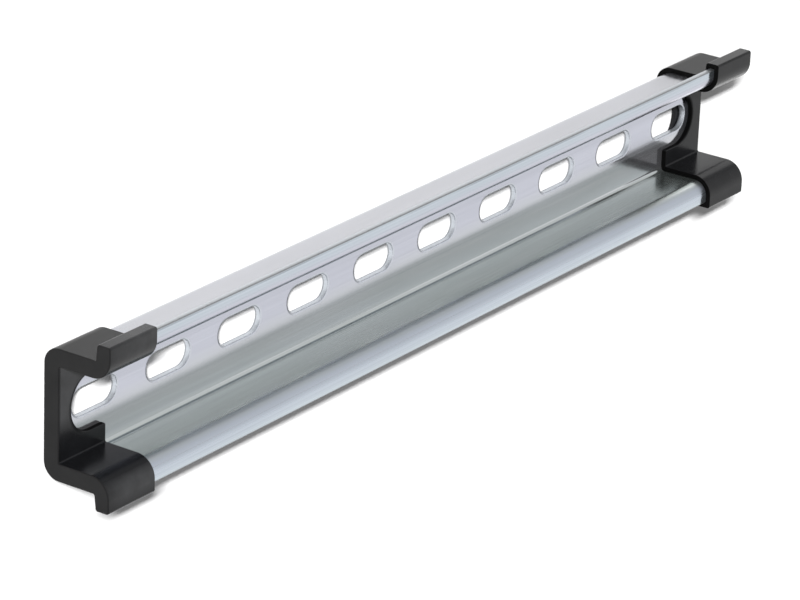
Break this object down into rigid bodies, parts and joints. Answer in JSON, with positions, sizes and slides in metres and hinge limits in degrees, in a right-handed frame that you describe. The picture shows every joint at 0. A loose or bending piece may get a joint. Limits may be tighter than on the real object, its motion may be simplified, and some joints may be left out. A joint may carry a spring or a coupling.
{
  "type": "din rail",
  "caption": "Slotted steel top-hat mounting rail, 35 mm wide and 15 mm deep, cut to length, with a push-on plastic cap over each end.",
  "frame": {"origin": "middle of the rail's length and width, at the back faces of the end caps", "axes": "+X along the rail, +Y across it from one flange to the other, +Z out of the open side of the channel"},
  "size_m": [0.2516, 0.0376, 0.0176],
  "materials": {
    "zinc_plated_steel": "satin",
    "black_plastic": "matte"
  },
  "bodies": {
    "root": {"rail": "zinc_plated_steel", "end_cap_left": "black_plastic", "end_cap_right": "black_plastic"}
  },
  "joints": []
}
